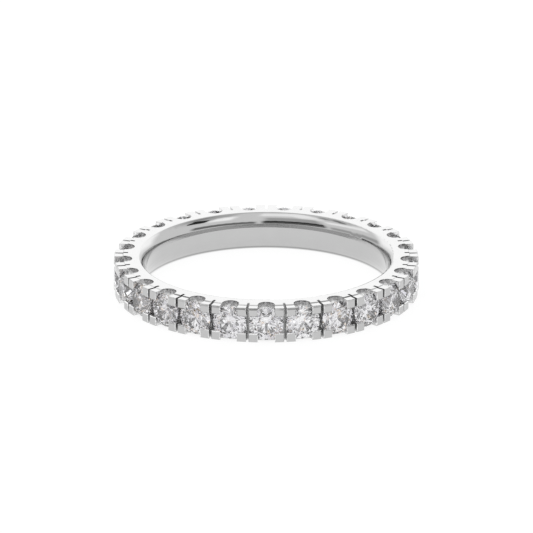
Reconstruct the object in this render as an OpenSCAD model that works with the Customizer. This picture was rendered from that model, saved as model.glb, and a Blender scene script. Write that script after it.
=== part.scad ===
// Full eternity ring: a cast white metal band with a comfort-fit bore, and a row of round
// brilliant stones set all the way round, each held at its corners by four block prongs.
// The ring lies flat on one side wall: the finger axis is +Z and the lower wall is at z = 0.
// Lengths are millimetres and angles are degrees.

/* [Band] */
// Diameter of the finger bore
bore_d = 16.9; // [16:0.1:18.5]
// Width of the band along the finger
band_w = 2.62; // [2.56:0.01:2.9]
// Radial thickness from the bore to the faces of the prongs
band_t = 2.22; // [2.1:0.01:2.5]
// Height of the straight middle of the bore
straight_h = 0.7; // [0.6:0.01:0.8]
// Lean of the taper between the straight middle and the comfort roll
taper_turn = 8.5; // [6:0.5:10]
// Radius of the comfort roll
roll_r = 1; // [0.9:0.01:1.2]
// Height of the comfort roll along the finger, with its rim
roll_h = 0.7; // [0.6:0.01:0.75]
// Radius of the rim between the comfort roll and the side wall
rim_r = 0.2; // [0.1:0.01:0.3]
// Radial width of the prong tops, which lie a little lower than the side wall
top_w = 0.66; // [0.5:0.01:0.8]
// How far the prong tops lie below the side wall
top_drop = 0.05; // [0.03:0.005:0.11]
// Height of the leaning strip between the prong faces and the rounding above it
lean_h = 0.11; // [0.04:0.01:0.14]
// How far the strip leans in
lean_turn = 14; // [8:1:30]
// Rounding where the strip meets the prong tops
edge_r = 0.05; // [0.03:0.01:0.06]

/* [Stones] */
// Number of stones round the ring
stone_count = 25; // [24:1:25]
// Diameter of a stone at its girdle
stone_d = 2.4; // [2.3:0.01:2.44]
// Width of the table from corner to corner
table_d = 1.37; // [1.25:0.01:1.5]
// Slope of the crown mains
crown_angle = 34.5; // [32:0.5:36]
// Slope of the pavilion mains
pavilion_angle = 40.8; // [40:0.1:42]
// Thickness of the girdle
girdle_t = 0.07; // [0.06:0.01:0.1]
// How far the tables lie inside the prong faces
table_sink = 0.02; // [0:0.01:0.1]
// Clearance between a stone and its seat
seat_gap = 0.02; // [0.015:0.005:0.03]

/* [Prongs] */
// Width of the opening between prongs round the ring
window_w = 1.2; // [1.16:0.01:1.3]
// Height of the opening between prongs along the finger
window_h = 1.24; // [1.16:0.01:1.4]
// Depth of the groove floor below the middle of the girdle
groove_depth = 0.17; // [0.12:0.01:0.2]
// Depth of the floor of the openings below the middle of the girdle
window_depth = 0.3; // [0.26:0.01:0.34]
// Width of the slot between the prongs of two stones
slot_w = 0.18; // [0.12:0.01:0.2]
// Depth of the slot from the prong faces
slot_depth = 0.97; // [0.8:0.01:1.05]
// Bevel on the edges of the prong faces
bevel = 0.06; // [0.02:0.01:0.07]

/* [Scallops] */
// How far the sides of a scallop lie inside the sides of the opening
scallop_inset = 0.01; // [0.005:0.005:0.05]
// Depth of the scallop from the prong faces, measured on the side wall
scallop_depth = 1.27; // [1.15:0.01:1.35]
// How deep the round end of a scallop lies below its side wall
scallop_sink = 0.72; // [0.66:0.01:0.85]

/* [Hidden] */
$fn = 96;
bore_r = bore_d / 2;
out_r = bore_r + band_t;
mid_z = band_w / 2;
pitch = 360 / stone_count;
// What a cutting shape reaches past the metal that it cuts
over = 0.3;

// Heights of a stone are measured from the middle of its girdle towards the table
stone_r = stone_d / 2;
table_r = table_d / 2;
half_girdle = girdle_t / 2;
crown_top = half_girdle + (stone_r - table_r) * tan(crown_angle);
culet = half_girdle + stone_r * tan(pavilion_angle);
girdle_at = out_r - table_sink - crown_top;
// Mains, stars and table sides in one stone, and the angle between two mains
mains = 8;
step = 360 / mains;
// Star facets reach half way from the table to the girdle
star_share = 0.5;
// Lower half facets reach three quarters of the way from the girdle to the culet
lower_share = 0.76;
star_r = table_r * cos(step / 2) + star_share * (stone_r - table_r * cos(step / 2));
star_z = crown_top - (star_r * cos(step / 2) - table_r) * tan(crown_angle);
lower_r = stone_r * (1 - lower_share);
lower_z = lower_r * cos(step / 2) * tan(pavilion_angle) - culet;

// Where the taper ends, and the centres of the comfort roll that touches it there and of the rim
// that touches the roll and the side wall. A turn is how far the section leans at that place.
half_straight = straight_h / 2;
taper_z = mid_z - roll_h;
taper_x = bore_r + (taper_z - half_straight) * tan(taper_turn);
roll_x = taper_x + roll_r * cos(taper_turn);
roll_z = taper_z - roll_r * sin(taper_turn);
rim_z = mid_z - rim_r;
rim_x = roll_x - sqrt(pow(roll_r - rim_r, 2) - pow(rim_z - roll_z, 2));
rim_turn = atan2(rim_z - roll_z, roll_x - rim_x);
top_z = mid_z - top_drop;
// Centre of the rounding under the prong tops, and the foot of the leaning strip
edge_x = out_r - lean_h * tan(lean_turn) - edge_r * cos(lean_turn);
edge_z = top_z - edge_r;
foot_z = edge_z + edge_r * sin(lean_turn) - lean_h;
groove_r = girdle_at - groove_depth;
scallop_r = window_w / 2 - scallop_inset;

function polar(r, a, z) = [r * cos(a), r * sin(a), z];

// Part of a disc between two angles that are less than a half turn apart, counted from the
// direction of the ring's axis towards the side wall
module sector(x, y, r, from, to) {
    reach = 2 * r;
    translate([x, y])
        intersection() {
            circle(r);
            polygon([[0, 0], [-reach * cos(from), reach * sin(from)], [-reach * cos(to), reach * sin(to)]]);
        }
}

// Upper half of the band's section, with the groove that runs between the prongs
module half_section() {
    lip_z = window_h / 2;
    polygon([
        [bore_r, 0],
        [groove_r, 0],
        [groove_r, lip_z],
        [out_r - bevel, lip_z],
        [out_r, lip_z + bevel],
        [out_r, foot_z],
        [edge_x + edge_r * cos(lean_turn), edge_z + edge_r * sin(lean_turn)],
        [edge_x, edge_z],
        [edge_x, top_z],
        [out_r - top_w + top_drop, top_z],
        [out_r - top_w, mid_z],
        [rim_x, mid_z],
        [rim_x, rim_z],
        [rim_x - rim_r * cos(rim_turn), rim_z + rim_r * sin(rim_turn)],
        [roll_x, roll_z],
        [taper_x, taper_z],
        [bore_r, half_straight]
    ]);
    sector(edge_x, edge_z, edge_r, 90, 180 - lean_turn);
    sector(rim_x, rim_z, rim_r, rim_turn, 90);
    sector(roll_x, roll_z, roll_r, taper_turn, rim_turn);
}

// The turned ring before any stone is set
module blank() {
    translate([0, 0, mid_z])
        rotate_extrude() {
            half_section();
            mirror([0, 1])
                half_section();
        }
}

// Puts a shape drawn with +Y outwards at a place round the ring, which counts in stones
module at_place(i) {
    rotate([0, 0, 180 + pitch * i])
        children();
}

// Channel through the whole width of the band, open outwards, with bevelled lips
module channel(width, floor_at) {
    half = width / 2;
    lip_at = sqrt(out_r * out_r - half * half) - bevel;
    flare = out_r + over - lip_at;
    translate([0, 0, -over])
        linear_extrude(band_w + 2 * over)
            polygon([
                [-half, floor_at],
                [half, floor_at],
                [half, lip_at],
                [half + flare, lip_at + flare],
                [-half - flare, lip_at + flare],
                [-half, lip_at]
            ]);
}

// The ring with the slots between the prongs of every two stones
module slotted_blank() {
    difference() {
        blank();
        for (i = [0:stone_count - 1])
            at_place(i + 0.5)
                channel(slot_w, out_r - slot_depth);
    }
}

// Seat of a stone, turned about the stone's own axis
module seat() {
    wide = stone_r + seat_gap;
    deep = 1.5 * seat_gap;
    translate([0, girdle_at, mid_z])
        rotate([-90, 0, 0])
            rotate_extrude()
                polygon([
                    [0, -culet - deep],
                    [lower_r, lower_z - deep],
                    [wide, -half_girdle - seat_gap],
                    [wide, half_girdle + seat_gap],
                    [star_r + seat_gap, star_z + seat_gap],
                    [0, star_z + seat_gap]
                ]);
}

// Round scallop with a ball end, sunk into the upper side wall behind one stone's edge
module scallop() {
    ball_z = scallop_r - scallop_sink;
    translate([0, out_r - scallop_depth + scallop_r, band_w])
        rotate_extrude() {
            translate([0, ball_z])
                square([scallop_r, over - ball_z]);
            sector(0, ball_z, scallop_r, 180, 270);
        }
}

// Everything that is cut away round one stone
module stone_place() {
    seat();
    channel(window_w, girdle_at - window_depth);
    scallop();
    translate([0, 0, band_w])
        mirror([0, 0, 1])
            scallop();
}

module band() {
    color("gainsboro")
        difference() {
            slotted_blank();
            for (i = [0:stone_count - 1])
                at_place(i)
                    stone_place();
        }
}

// Height of the plane through three points, over a place
function plane_z(a, b, c, p) =
    let (n = cross(b - a, c - a))
    a[2] - (n[0] * (p[0] - a[0]) + n[1] * (p[1] - a[1])) / n[2];
// The girdle's edges dip between the mains, where the half facets meet its round
function dip(inner, z) =
    plane_z(inner, polar(stone_r, 0, z), polar(stone_r, step / 2, z), polar(stone_r, step / 4, z));

// Corners in rings: table, stars, girdle top, girdle bottom, lower halves, then the culet
rim_n = 4 * mains;
star_0 = mains;
top_0 = star_0 + mains;
low_0 = top_0 + rim_n;
half_0 = low_0 + rim_n;
culet_0 = half_0 + mains;
dip_top = dip(polar(star_r, step / 2, star_z), half_girdle);
dip_low = dip(polar(lower_r, step / 2, lower_z), -half_girdle);
stone_points = concat(
    [for (k = [0:mains - 1]) polar(table_r, k * step, crown_top)],
    [for (k = [0:mains - 1]) polar(star_r, (k + 0.5) * step, star_z)],
    [for (k = [0:rim_n - 1]) polar(stone_r, k * step / 4, k % 2 == 0 ? half_girdle : dip_top)],
    [for (k = [0:rim_n - 1]) polar(stone_r, k * step / 4, k % 2 == 0 ? -half_girdle : dip_low)],
    [for (k = [0:mains - 1]) polar(lower_r, (k + 0.5) * step, lower_z)],
    [[0, 0, -culet]]
);
function next(k) = (k + 1) % mains;
function before(k) = (k + mains - 1) % mains;
function top(k) = top_0 + k % rim_n;
function low(k) = low_0 + k % rim_n;
stone_faces = concat(
    [[for (k = [mains - 1:-1:0]) k]],
    [for (k = [0:mains - 1]) [k, next(k), star_0 + k]],
    [for (k = [0:mains - 1]) [k, star_0 + k, top(4 * k), star_0 + before(k)]],
    [for (k = [0:mains - 1]) [star_0 + k, top(4 * k + 2), top(4 * k + 1), top(4 * k)]],
    [for (k = [0:mains - 1]) [star_0 + k, top(4 * k + 4), top(4 * k + 3), top(4 * k + 2)]],
    [for (k = [0:rim_n - 1]) [top(k), top(k + 1), low(k + 1), low(k)]],
    [for (k = [0:mains - 1]) [half_0 + k, low(4 * k), low(4 * k + 1), low(4 * k + 2)]],
    [for (k = [0:mains - 1]) [half_0 + k, low(4 * k + 2), low(4 * k + 3), low(4 * k + 4)]],
    [for (k = [0:mains - 1]) [culet_0, half_0 + before(k), low(4 * k), half_0 + k]]
);

// A round brilliant with its table outwards
module stone(i) {
    color("white")
        at_place(i)
            translate([0, girdle_at, mid_z])
                rotate([-90, 0, 0])
                    polyhedron(stone_points, stone_faces);
}

band();
for (i = [1:stone_count])
    stone(i - 1);
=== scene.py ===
import math

import bmesh
import bpy
from bpy.props import FloatProperty, FloatVectorProperty, IntProperty, PointerProperty
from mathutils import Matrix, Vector


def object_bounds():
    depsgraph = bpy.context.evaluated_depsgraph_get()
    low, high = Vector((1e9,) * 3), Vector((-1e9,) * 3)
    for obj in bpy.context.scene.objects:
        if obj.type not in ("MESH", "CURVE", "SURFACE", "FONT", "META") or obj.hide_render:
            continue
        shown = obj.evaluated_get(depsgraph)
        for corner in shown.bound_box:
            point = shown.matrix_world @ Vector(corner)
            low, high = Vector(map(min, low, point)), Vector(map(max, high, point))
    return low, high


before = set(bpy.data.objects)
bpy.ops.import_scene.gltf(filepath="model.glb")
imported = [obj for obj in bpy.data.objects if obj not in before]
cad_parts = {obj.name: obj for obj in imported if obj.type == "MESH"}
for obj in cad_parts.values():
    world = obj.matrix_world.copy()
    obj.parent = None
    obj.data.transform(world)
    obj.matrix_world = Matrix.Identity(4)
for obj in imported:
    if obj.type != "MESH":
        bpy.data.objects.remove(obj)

bl_info = {
    "name": "Eternity Ring Studio",
    "version": (1, 0, 0),
    "blender": (4, 5, 0),
    "location": "View3D > Sidebar > Ring",
    "description": "Polishes and sets a white metal eternity ring, and lights it on a pale table",
    "category": "Object",
}

MM = 0.001
SOLID_BOX = [list(corner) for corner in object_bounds()]
FOOT = SOLID_BOX[0][2]

# Sizes of the band in millimetres, which lay out the finish, the painted light and the painted
# shade of the
# walls cut into it: the middle of its width, how far out its prongs reach, how far in its walls are
# cut, how high its prong tops lie above the middle, and the corner between the prong faces and the
# prong tops
MIDDLE = 1.31
OUT_R = 10.67
CUT_R = 9.12
TOP = 1.26
CORNER = 0.15
# How many slots there are, how far round one of them is from the +X side in degrees, and how wide:
# these place the painted shade inside the slots
SLOTS = 25
SLOT_TURN = 3.6
SLOT_W = 0.18
# Soft edges of that finish, painted light and painted shade: where it starts and is full below the
# skin, further in, and at a slot
SKIN_LOW, SKIN_HIGH = 0.01, 0.04
CUT_SOFT = 0.04
SLOT_SOFT = 0.03

# Grain of the metal for each millimetre: its clouds, its specks and its lines, which run round the
# band because they are finest along its height
CLOUD_SCALE = 0.8
SPECK_SCALE = 7.0
LINE_SCALE = (1.5, 1.5, 26.0)
LINE_DEPTH = 0.004
# How far the specks are drawn apart, and what the clouds and the lines do to the roughness
SPECK_LOW, SPECK_HIGH = 0.38, 0.62
ROUGH_LEAST, ROUGH_CLOUD, ROUGH_LINES = 0.7, 0.6, 0.02

# Where the colours of the painted fire on the light that leaves a stone follow each other, from
# amber to brightest
PAINTED_FIRE_STOPS = (0.32, 0.355, 0.395, 0.48, 0.58)

# Half of the table's side in metres, how many parts each side is in and how dull the top is. Then
# the strip of painted shadow that the band casts on the table: its middle radius, half width and
# soft edge in millimetres
TABLE_HALF = 0.6
TABLE_PARTS = 8
TABLE_ROUGHNESS = 0.9
PAINTED_SHADOW_R = 9.4
PAINTED_SHADOW_HALF = 0.58
PAINTED_SHADOW_SOFT = 0.12
# The camera sees from this many times nearer than the ring to as many times farther
CLIP_RANGE = 10

# Panels of the light tent, and gaps in it. Each has the side that it is on (0 is the front, 90 the
# right), its rise, its half width, its half height and the softness of its edges, all in degrees,
# and how much it adds to the light of the tent's cloth
TENT_PANELS = [
    (-30, 66, 38, 9, 6, 0.42),
    (-52, 52, 16, 7, 5, 0.30),
    (50, 48, 13, 10, 6, 0.60),
    (82, 62, 30, 12, 9, -0.38),
    (180, 62, 95, 18, 12, -0.28),
    (0, 90, 180, 9, 3, -0.50),
    (80, 45, 12, 6, 2, -1.10),
    (-94, 50, 6, 5, 3, -0.50),
    (-80, 57, 6, 4, 3, -0.50),
    (-92, 37, 28, 5, 4, 0.45),
    (-27, 32, 28, 13, 5, -0.42),
    (-27, 15, 31, 8, 3, -0.85),
    (42, 13, 32, 6, 3, -0.78),
    (-95, 11, 32, 6, 4, -0.45),
    (180, 22, 50, 14, 8, 0.58),
]

# Sockets of the Mix node that take the two colours and give their mixture
MIX_FIRST, MIX_SECOND, MIX_OUT = 6, 7, 2


# Shader recipes

class Wire:
    """A socket in a sum: each operator adds the Math node that works it out."""

    def __init__(self, recipe, socket):
        self.recipe = recipe
        self.socket = socket

    def math(self, operation, *values):
        return self.recipe.add("ShaderNodeMath", {"operation": operation}, dict(enumerate(values)))

    def inside(self, half, soft):
        """1 up to half on either side of 0, and 0 outside, with soft edges."""
        return self.recipe.add(
            "ShaderNodeMapRange", {"interpolation_type": "SMOOTHSTEP"},
            {"Value": abs(self), "From Min": half + soft, "From Max": half - soft})

    def at_least(self, least):
        return self.math("MAXIMUM", self, least)

    def wrapped(self, half):
        """The value brought to between minus half and half by whole turns of twice half."""
        return self.math("WRAP", self, half, -half)

    def scaled(self, factor):
        """The vector times the factor."""
        return self.recipe.add(
            "ShaderNodeVectorMath", {"operation": "SCALE"}, {0: self, "Scale": factor})

    def rising(self, low, high):
        """0 below low, 1 above high, and a soft step between them."""
        return self.recipe.add(
            "ShaderNodeMapRange", {"interpolation_type": "SMOOTHSTEP"},
            {"Value": self, "From Min": low, "From Max": high})

    def __add__(self, other):
        return self.math("ADD", self, other)

    def __sub__(self, other):
        return self.math("SUBTRACT", self, other)

    def __rsub__(self, other):
        return self.math("SUBTRACT", other, self)

    def __mul__(self, other):
        return self.math("MULTIPLY", self, other)

    def __pow__(self, other):
        return self.math("POWER", self, other)

    def __abs__(self):
        return self.math("ABSOLUTE", self)

    __radd__ = __add__
    __rmul__ = __mul__


class Recipe:
    """The node tree of one material or world, and the one way in which nodes are added to it."""

    def __init__(self, tree):
        self.tree = tree
        tree.nodes.clear()

    def add(self, kind, settings=None, values=None, out=0):
        """Adds a node. Its settings come first, then the values or wires of its sockets."""
        node = self.tree.nodes.new(kind)
        for name, setting in (settings or {}).items():
            if name == "stops":
                self.set_stops(node.color_ramp, setting)
            else:
                setattr(node, name, setting)
        for name, value in (values or {}).items():
            if isinstance(value, Wire):
                self.tree.links.new(value.socket, node.inputs[name])
            else:
                node.inputs[name].default_value = value
        return node if out is None or not node.outputs else Wire(self, node.outputs[out])

    def blend(self, factor, first, second):
        """The first colour where the factor is 0, and the second where it is 1."""
        values = {"Factor": factor}
        for socket, colour in ((MIX_FIRST, first), (MIX_SECOND, second)):
            values[socket] = colour if isinstance(colour, Wire) else (*colour, 1.0)
        return self.add("ShaderNodeMix", {"data_type": "RGBA"}, values, out=MIX_OUT)

    def noise(self, place, scale, detail):
        return self.add(
            "ShaderNodeTexNoise", None, {"Vector": place, "Scale": scale, "Detail": detail})

    def place(self):
        """Where a point lies, in millimetres from the middle of the ring's foot."""
        return self.add("ShaderNodeTexCoord", out="Object").scaled(1 / MM)

    @staticmethod
    def set_stops(ramp, stops):
        while len(ramp.elements) < len(stops):
            ramp.elements.new(1.0)
        for element, (place, colour) in zip(ramp.elements, stops):
            element.position = place
            element.color = (*colour, 1.0)


def new_material(name):
    material = bpy.data.materials.new(name)
    material.use_nodes = True
    return material, Recipe(material.node_tree)


def dress(piece, material):
    """Puts one material all over a piece."""
    piece.data.materials.clear()
    piece.data.materials.append(material)


def cut_inside(recipe, place):
    """Two masks: all walls cut into the band's skin, which get their roughness and painted light,
    and those of them that the slots have, which get painted shade.
    """
    parts = recipe.add("ShaderNodeSeparateXYZ", None, {"Vector": place}, out=None)
    across, along, height = (Wire(recipe, parts.outputs[name]) for name in "XYZ")
    out = (across * across + along * along) ** 0.5
    past_face = (out - (OUT_R - CORNER)).at_least(0.0)
    past_top = (abs(height - MIDDLE) - (TOP - CORNER)).at_least(0.0)
    depth = CORNER - (past_face * past_face + past_top * past_top) ** 0.5
    cut = depth.rising(SKIN_LOW, SKIN_HIGH) * out.rising(CUT_R, CUT_R + CUT_SOFT)
    turn = along.math("ARCTAN2", along, across) - math.radians(SLOT_TURN)
    from_slot = turn.wrapped(math.pi / SLOTS) * out
    return cut, cut * from_slot.inside(SLOT_W / 2, SLOT_SOFT)


def polished_metal(look):
    material, recipe = new_material("polished_white_metal")
    place = recipe.place()
    cloud = recipe.noise(place, CLOUD_SCALE, 3.0)
    speck = recipe.noise(place, SPECK_SCALE, 2.0)
    stretched = recipe.add(
        "ShaderNodeVectorMath", {"operation": "MULTIPLY"}, {0: place, 1: LINE_SCALE})
    lines = recipe.noise(stretched, 1.0, 4.0)
    cut, slot = cut_inside(recipe, place)
    rough = look.roughness * (ROUGH_LEAST + cloud * ROUGH_CLOUD)
    rough = rough + lines * ROUGH_LINES + cut * look.cut_roughness
    skin = recipe.blend(cloud, look.colour_low, look.colour_high)
    # Painted light: the colours of the cut walls are lifted far above the polished skin's, with a
    # speckled grain between them.
    walls = recipe.blend(speck.rising(SPECK_LOW, SPECK_HIGH), look.cut_speck_painted_light, look.cut_painted_light)
    # Painted shade: the metal inside the slots is darker than the other cut walls.
    walls = recipe.blend(slot, walls, look.slot_painted_shade)
    colour = recipe.blend(cut, skin, walls)
    bump = recipe.add(
        "ShaderNodeBump", None,
        {"Strength": look.line_strength, "Distance": LINE_DEPTH * MM, "Height": lines})
    shader = recipe.add(
        "ShaderNodeBsdfPrincipled", None,
        {"Base Color": colour, "Metallic": 1.0, "Roughness": rough, "Normal": bump})
    recipe.add("ShaderNodeOutputMaterial", None, {"Surface": shader})
    return material


def clear_stone(look):
    """Clear where light enters, with painted fire where it leaves: darker, coloured flashes in
    place of dispersion, so that each facet has its own fire.
    """
    material, recipe = new_material("clear_brilliant")
    facing = recipe.add("ShaderNodeNewGeometry", out="True Normal")
    spot = recipe.add(
        "ShaderNodeVectorMath", {"operation": "MULTIPLY_ADD"},
        {0: facing, 1: (look.fire_scale,) * 3, 2: recipe.place().scaled(look.fire_drift)})
    # Painted fire: amber, warm and cool flashes, a dimmed leaving light and bright flashes are
    # colours painted where light leaves a stone, in place of dispersion.
    painted_fire_colours = (look.amber, look.warm, look.cool, look.inner, look.bright)
    fire = recipe.add(
        "ShaderNodeValToRGB", {"stops": list(zip(PAINTED_FIRE_STOPS, painted_fire_colours))},
        {0: recipe.noise(spot, 1.0, 1.0)})
    leaving = recipe.add("ShaderNodeNewGeometry", out="Backfacing")
    clear_and_painted_fire = recipe.blend(leaving, look.clear, fire)
    shader = recipe.add(
        "ShaderNodeBsdfPrincipled", None,
        {"Base Color": clear_and_painted_fire, "Roughness": 0.0, "IOR": look.ior, "Transmission Weight": 1.0})
    recipe.add("ShaderNodeOutputMaterial", None, {"Surface": shader})
    return material


# Sizes and colours that a user would change

class MetalLook(bpy.types.PropertyGroup):
    """Finish of the band, with painted light on its cut walls and painted shade in its slots"""
    colour_low: FloatVectorProperty(
        name="Darker metal", description="Colour of the metal where it is least bright",
        subtype="COLOR", default=(0.52, 0.52, 0.52), min=0.0, max=1.0)
    colour_high: FloatVectorProperty(
        name="Brighter metal", description="Colour of the metal where it is brightest",
        subtype="COLOR", default=(0.55, 0.55, 0.55), min=0.0, max=1.0)
    roughness: FloatProperty(
        name="Roughness", description="Middle roughness of the polish",
        default=0.055, min=0.0, max=1.0)
    # Painted light: both cut colours are lifted above the polished metal's, with a speckled grain
    # between them.
    cut_speck_painted_light: FloatVectorProperty(
        name="Darker cut", description="Colour of the specks on the walls of the scallops",
        subtype="COLOR", default=(0.66, 0.66, 0.66), min=0.0, max=1.0)
    cut_painted_light: FloatVectorProperty(
        name="Brighter cut", description="Colour of the walls of the scallops between the specks",
        subtype="COLOR", default=(1.0, 1.0, 1.0), min=0.0, max=1.0)
    # Painted shade inside the slots between the prongs.
    slot_painted_shade: FloatVectorProperty(
        name="Slots", description="Colour of the metal inside the slots between the prongs",
        subtype="COLOR", default=(0.46, 0.46, 0.46), min=0.0, max=1.0)
    cut_roughness: FloatProperty(
        name="Cut roughness", description="Roughness that the cut walls have beyond the polish's",
        default=0.3, min=0.0, max=1.0)
    line_strength: FloatProperty(
        name="Polishing lines", description="Strength of the fine lines left by polishing",
        default=0.12, min=0.0, max=1.0)


class StoneLook(bpy.types.PropertyGroup):
    """Finish of the stones, with the painted fire on the light that leaves them"""
    ior: FloatProperty(
        name="Refraction", description="Index of refraction of diamond",
        default=2.417, min=1.0, max=3.0)
    clear: FloatVectorProperty(
        name="Clear", description="Tint of the light that enters a stone", subtype="COLOR",
        default=(0.95, 0.95, 0.965), min=0.0, max=1.0)
    # Painted fire: these colours are painted on the light that leaves a stone, dimmed and coloured,
    # in place of dispersion.
    inner: FloatVectorProperty(
        name="Leaving light", description="Colour of the light that most of a stone gives back",
        subtype="COLOR", default=(0.65, 0.64, 0.685), min=0.0, max=1.0)
    bright: FloatVectorProperty(
        name="Brightest light", description="Colour of the brightest flashes", subtype="COLOR",
        default=(0.95, 0.95, 0.96), min=0.0, max=1.0)
    amber: FloatVectorProperty(
        name="Amber fire", description="Tint of the deepest warm flashes", subtype="COLOR",
        default=(0.05, 0.03, 0.01), min=0.0, max=1.0)
    warm: FloatVectorProperty(
        name="Warm fire", description="Tint of the pale warm flashes", subtype="COLOR",
        default=(0.60, 0.42, 0.28), min=0.0, max=1.0)
    cool: FloatVectorProperty(
        name="Cool fire", description="Tint of the cool flashes", subtype="COLOR",
        default=(0.19, 0.18, 0.235), min=0.0, max=1.0)
    fire_scale: FloatProperty(
        name="Fire scale", description="How much the fire differs from facet to facet",
        default=4.5, min=0.1)
    fire_drift: FloatProperty(
        name="Fire drift", default=0.7, min=0.0,
        description="How fast the fire changes over a facet, for each millimetre")


class StudioLook(bpy.types.PropertyGroup):
    """Table, light and camera"""
    table: FloatVectorProperty(
        name="Table", description="Colour of the table top", subtype="COLOR",
        default=(0.18, 0.18, 0.18), min=0.0, max=1.0)
    table_glow: FloatProperty(
        name="Table glow", description="Light that comes through the table top",
        default=0.88, min=0.0)
    # Painted shadow of the band on the table.
    painted_contact_shadow: FloatVectorProperty(
        name="Contact", description="How much of the table's glow is left under the band",
        subtype="COLOR", default=(0.5, 0.5, 0.5), min=0.0, max=1.0)
    sky: FloatProperty(
        name="Light", description="Brightness of the whole tent", default=1.0, min=0.0)
    cloth: FloatProperty(
        name="Tent cloth", description="Light of the tent where it has no panel",
        default=1.0, min=0.0)
    darkest: FloatProperty(
        name="Darkest gap", description="Light that the tent's gaps still give",
        default=0.03, min=0.0)
    bounces: IntProperty(
        name="Bounces", description="How often light may turn inside the stones", default=8, min=1)
    camera_rise: FloatProperty(
        name="Camera rise", description="Angle of the camera above the table", subtype="ANGLE",
        default=math.radians(20.03))
    camera_far: FloatProperty(
        name="Camera distance", description="Distance from the ring to the camera", unit="LENGTH",
        default=1.2, min=0.05)
    view_width: FloatProperty(
        name="Width in view", description="Width that the picture spans at the ring", unit="LENGTH",
        default=37.32 * MM, min=1 * MM)
    aim_side: FloatProperty(
        name="Aim to the side", description="How far right of the ring's axis the camera aims",
        unit="LENGTH", default=0.014 * MM)
    aim_height: FloatProperty(
        name="Aim height", description="Height on the ring's axis that the camera aims at",
        unit="LENGTH", default=1.802 * MM)


# Pieces

class RING_OT_polish_band(bpy.types.Operator):
    """Gives the band its polished white metal"""
    bl_idname = "ring.polish_band"
    bl_label = "Polish the Band"

    def execute(self, context):
        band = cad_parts["band"]
        dress(band, polished_metal(context.scene.ring_metal))
        return {"FINISHED"}


class RING_OT_set_stones(bpy.types.Operator):
    """Gives every stone its clear material"""
    bl_idname = "ring.set_stones"
    bl_label = "Set the Stones"

    def execute(self, context):
        material = clear_stone(context.scene.ring_stones)
        for name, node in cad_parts.items():
            if name.startswith("stone_"):
                dress(node, material)
        return {"FINISHED"}


def lay_table(look):
    mesh = bpy.data.meshes.new("table_top")
    shape = bmesh.new()
    bmesh.ops.create_grid(
        shape, x_segments=TABLE_PARTS, y_segments=TABLE_PARTS, size=TABLE_HALF)
    bmesh.ops.translate(shape, verts=shape.verts, vec=(0, 0, FOOT))
    shape.to_mesh(mesh)
    shape.free()
    table = bpy.data.objects.new("table_top", mesh)
    bpy.context.scene.collection.objects.link(table)
    material, recipe = new_material("pale_table")
    out = recipe.add(
        "ShaderNodeVectorMath", {"operation": "LENGTH"}, {0: recipe.place()}, out="Value")
    # Painted shadow: a ring-shaped strip beneath the band where the table's glow is dimmed.
    under = (out - PAINTED_SHADOW_R).inside(PAINTED_SHADOW_HALF, PAINTED_SHADOW_SOFT)
    shader = recipe.add(
        "ShaderNodeBsdfPrincipled", None,
        {"Base Color": (*look.table, 1.0), "Roughness": TABLE_ROUGHNESS, "Specular IOR Level": 0.0,
         "Emission Color": recipe.blend(under, (1.0, 1.0, 1.0), look.painted_contact_shadow),
         "Emission Strength": look.table_glow})
    recipe.add("ShaderNodeOutputMaterial", None, {"Surface": shader})
    mesh.materials.append(material)


def panel_light(side, rise, panel):
    """What one panel of the tent adds to a ray, whose side and rise say where it goes."""
    at_side, at_rise, half_width, half_height, soft, gain = panel
    across = (side - at_side).wrapped(180.0).inside(half_width, soft)
    return across * (rise - at_rise).inside(half_height, soft) * gain


def light_tent(look):
    """Lights the ring with a pale tent, whose panels and gaps give the polish its lines."""
    world = bpy.data.worlds.new("light_tent")
    world.use_nodes = True
    bpy.context.scene.world = world
    recipe = Recipe(world.node_tree)
    place = recipe.add("ShaderNodeTexCoord", out="Generated")
    parts = recipe.add("ShaderNodeSeparateXYZ", None, {"Vector": place}, out=None)
    right, away, height = (Wire(recipe, parts.outputs[name]) for name in "XYZ")
    side = right.math("ARCTAN2", right, away * -1.0) * math.degrees(1)
    rise = height.math("ARCSINE", height) * math.degrees(1)
    level = look.cloth
    for panel in TENT_PANELS:
        level = level + panel_light(side, rise, panel)
    shader = recipe.add(
        "ShaderNodeBackground", None, {"Color": level.at_least(look.darkest), "Strength": look.sky})
    recipe.add("ShaderNodeOutputWorld", None, {"Surface": shader})


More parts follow.
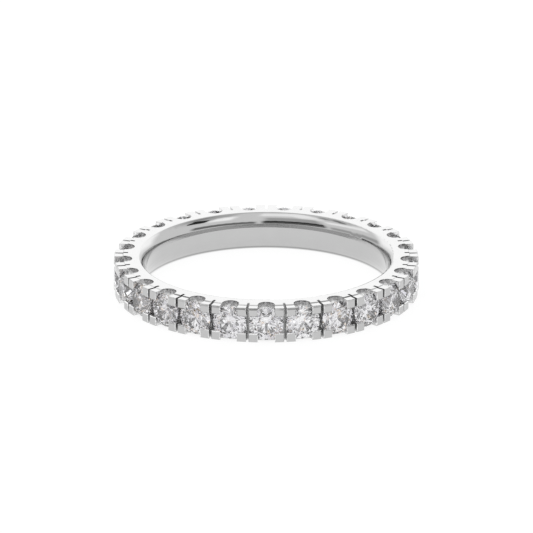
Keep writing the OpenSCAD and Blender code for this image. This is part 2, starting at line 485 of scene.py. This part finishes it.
def place_camera(look):
    data = bpy.data.cameras.new("camera")
    camera = bpy.data.objects.new("camera", data)
    scene = bpy.context.scene
    scene.collection.objects.link(camera)
    aim = Vector((look.aim_side, 0, FOOT + look.aim_height))
    back = Vector((0, -math.cos(look.camera_rise), math.sin(look.camera_rise)))
    camera.location = aim + back * look.camera_far
    camera.rotation_euler = back.to_track_quat("Z", "Y").to_euler()
    data.lens = data.sensor_width * look.camera_far / look.view_width
    data.clip_start = look.camera_far / CLIP_RANGE
    data.clip_end = look.camera_far * CLIP_RANGE
    scene.camera = camera


class RING_OT_build_studio(bpy.types.Operator):
    """Lays the table, lights the tent and places the camera"""
    bl_idname = "ring.build_studio"
    bl_label = "Build the Studio"

    def execute(self, context):
        look = context.scene.ring_studio
        lay_table(look)
        light_tent(look)
        place_camera(look)
        context.scene.view_settings.view_transform = "Standard"
        cycles = context.scene.cycles
        cycles.max_bounces = look.bounces
        cycles.glossy_bounces = look.bounces
        cycles.transmission_bounces = look.bounces
        return {"FINISHED"}


class RING_PT_sidebar(bpy.types.Panel):
    """Lists the ring's pieces and the studio"""
    bl_label = "Eternity Ring"
    bl_idname = "RING_PT_sidebar"
    bl_space_type = "VIEW_3D"
    bl_region_type = "UI"
    bl_category = "Ring"

    def draw(self, context):
        for name, kind in LOOKS.items():
            box = self.layout.box()
            for prop in kind.__annotations__:
                box.prop(getattr(context.scene, name), prop)
        for operator in OPERATORS:
            self.layout.operator(operator.bl_idname)


LOOKS = {"ring_metal": MetalLook, "ring_stones": StoneLook, "ring_studio": StudioLook}
OPERATORS = [RING_OT_build_studio, RING_OT_polish_band, RING_OT_set_stones]
CLASSES = [*LOOKS.values(), *OPERATORS, RING_PT_sidebar]


def register():
    for cls in CLASSES:
        bpy.utils.register_class(cls)
    for name, look in LOOKS.items():
        setattr(bpy.types.Scene, name, PointerProperty(type=look))


def unregister():
    for name in LOOKS:
        delattr(bpy.types.Scene, name)
    for cls in reversed(CLASSES):
        bpy.utils.unregister_class(cls)


def main():
    register()
    bpy.ops.ring.build_studio()
    bpy.ops.ring.polish_band()
    bpy.ops.ring.set_stones()


if __name__ == "__main__":
    main()
